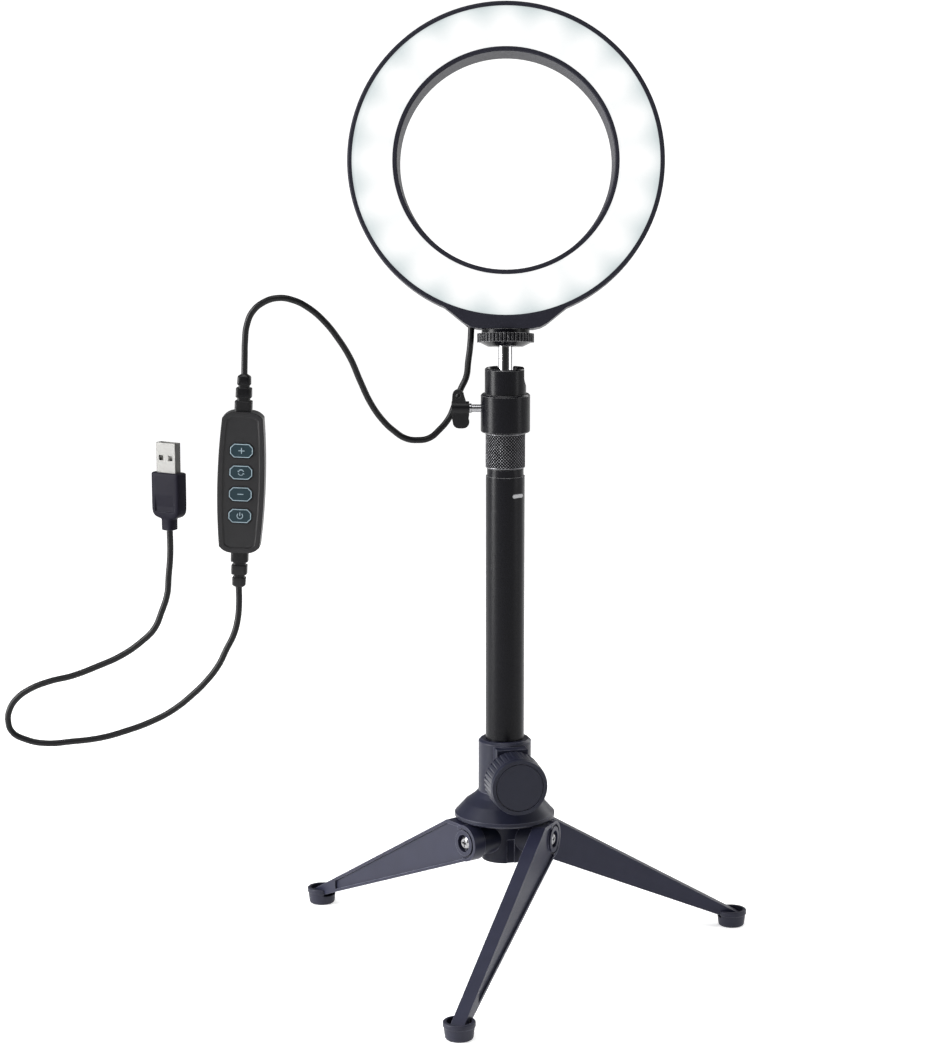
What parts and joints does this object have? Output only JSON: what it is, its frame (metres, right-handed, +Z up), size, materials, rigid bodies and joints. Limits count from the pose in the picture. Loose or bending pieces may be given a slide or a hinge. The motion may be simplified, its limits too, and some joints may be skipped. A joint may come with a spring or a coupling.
{
  "type": "ring light",
  "caption": "Tabletop LED ring light on a ball head and sliding column over a folding tripod, with an in-line keypad and plug on its cord.",
  "frame": {"origin": "on the table, below the column's axis", "axes": "+Z up along the column; the light faces -Y; the wing screw points to -X"},
  "size_m": [0.3905, 0.2288, 0.4918],
  "materials": {
    "anodised_black": "satin",
    "hub_plastic": "matte",
    "leg_plastic": "matte",
    "foot_rubber": "matte",
    "knob_plastic": "matte",
    "bright_steel": "bright",
    "chrome": "polished",
    "brass": "satin",
    "nylon": "matte",
    "ring_plastic": "matte",
    "diffuser_white": "frosted",
    "board_white": "matte",
    "led_yellow": "gloss",
    "cord_black": "satin",
    "case_plastic": "matte",
    "button_membrane": "satin",
    "board_green": "matte",
    "plug_plastic": "matte",
    "nickel": "polished"
  },
  "bodies": {
    "base": {"hub_body": "hub_plastic", "leg_pivot_screws": "bright_steel", "clamp_nut": "brass"},
    "leg_front": {"leg_front": "leg_plastic", "foot_front": "foot_rubber"},
    "leg_left": {"leg_left": "leg_plastic", "foot_left": "foot_rubber"},
    "leg_right": {"leg_right": "leg_plastic", "foot_right": "foot_rubber"},
    "clamp_pad": {"clamp_pad": "nylon"},
    "clamp_knob": {"clamp_screw": "bright_steel", "clamp_knob": "knob_plastic", "clamp_knob_cap": "knob_plastic"},
    "column": {"column_tube": "anodised_black", "column_end_plug": "hub_plastic", "column_top_plug": "anodised_black", "column_pin": "bright_steel", "neck_stud": "bright_steel"},
    "ball_head": {"knurled_neck": "anodised_black", "lock_collar": "anodised_black", "ball_cup": "anodised_black", "brake_plunger": "nylon"},
    "wing": {"wing_screw": "bright_steel", "wing_lever": "knob_plastic"},
    "ball": {"ball": "chrome"},
    "light": {"ball_stud": "chrome", "ring_housing": "ring_plastic", "diffuser": "diffuser_white", "led_board": "board_white", "leds": "led_yellow", "board_screws": "bright_steel", "bracket_insert": "brass", "cord_grommet": "cord_black", "cord_upper": "cord_black", "cord_lower": "cord_black", "case_front": "case_plastic", "case_back": "case_plastic", "case_board": "board_green", "case_screws": "bright_steel", "relief_upper": "cord_black", "relief_lower": "cord_black", "usb_overmold": "plug_plastic", "usb_shell": "nickel", "usb_tongue": "nylon"},
    "wheel": {"lock_wheel": "anodised_black"},
    "plus_key": {"button_plus": "button_membrane"},
    "mode_key": {"button_mode": "button_membrane"},
    "minus_key": {"button_minus": "button_membrane"},
    "power_key": {"button_power": "button_membrane"}
  },
  "joints": [
    {"name": "leg_front_fold", "type": "hinge", "parent": "base", "child": "leg_front", "pos_m": [0.02255, -0.00821, 0.064], "axis": [0.9397, -0.342, 0], "range_deg": [0, 62]},
    {"name": "leg_left_fold", "type": "hinge", "parent": "base", "child": "leg_left", "pos_m": [-0.01838, -0.01543, 0.064], "axis": [-0.766, -0.6428, 0], "range_deg": [0, 62]},
    {"name": "leg_right_fold", "type": "hinge", "parent": "base", "child": "leg_right", "pos_m": [-0.00417, 0.02363, 0.064], "axis": [-0.1736, 0.9848, 0], "range_deg": [0, 62]},
    {"name": "clamp_advance", "type": "slide", "parent": "base", "child": "clamp_pad", "axis": [0.2164, -0.9763, 0], "range_m": [0, 0.0008]},
    {"name": "clamp_knob_turn", "type": "hinge", "parent": "clamp_pad", "child": "clamp_knob", "pos_m": [0, 0, 0.0984], "axis": [0.2164, -0.9763, 0], "range_deg": [0, 360]},
    {"name": "column_slide", "type": "slide", "parent": "base", "child": "column", "axis": [0, 0, 1], "range_m": [-0.045, 0]},
    {"name": "head_pan", "type": "hinge", "parent": "column", "child": "ball_head", "pos_m": [0, 0, 0.2575], "axis": [0, 0, 1], "range_deg": [-180, 180]},
    {"name": "wing_turn", "type": "hinge", "parent": "ball_head", "child": "wing", "pos_m": [-0.02, 0, 0.288], "axis": [1, 0, 0], "range_deg": [0, 180]},
    {"name": "ball_tilt", "type": "hinge", "parent": "ball_head", "child": "ball", "pos_m": [0, 0, 0.3], "axis": [1, 0, 0], "range_deg": [-12, 29]},
    {"name": "ball_roll", "type": "hinge", "parent": "ball", "child": "light", "pos_m": [0, 0, 0.3], "axis": [0, 1, 0], "range_deg": [-10, 10]},
    {"name": "lock_wheel_turn", "type": "hinge", "parent": "light", "child": "wheel", "pos_m": [0, 0.00375, 0.32371], "axis": [0, 0.1564, 0.9877], "range_deg": [0, 360]},
    {"name": "plus_press", "type": "slide", "parent": "light", "child": "plus_key", "axis": [0, 1, 0], "range_m": [0, 0.0005], "stiffness_N_per_m": 1200, "springref_m": -0.0008},
    {"name": "mode_press", "type": "slide", "parent": "light", "child": "mode_key", "axis": [0, 1, 0], "range_m": [0, 0.0005], "stiffness_N_per_m": 1200, "springref_m": -0.0008},
    {"name": "minus_press", "type": "slide", "parent": "light", "child": "minus_key", "axis": [0, 1, 0], "range_m": [0, 0.0005], "stiffness_N_per_m": 1200, "springref_m": -0.0008},
    {"name": "power_press", "type": "slide", "parent": "light", "child": "power_key", "axis": [0, 1, 0], "range_m": [0, 0.0005], "stiffness_N_per_m": 1200, "springref_m": -0.0008}
  ],
  "couplings": [
    {"joint": "clamp_advance", "follows": "clamp_knob_turn", "m_per_rad": 0.00012732}
  ]
}
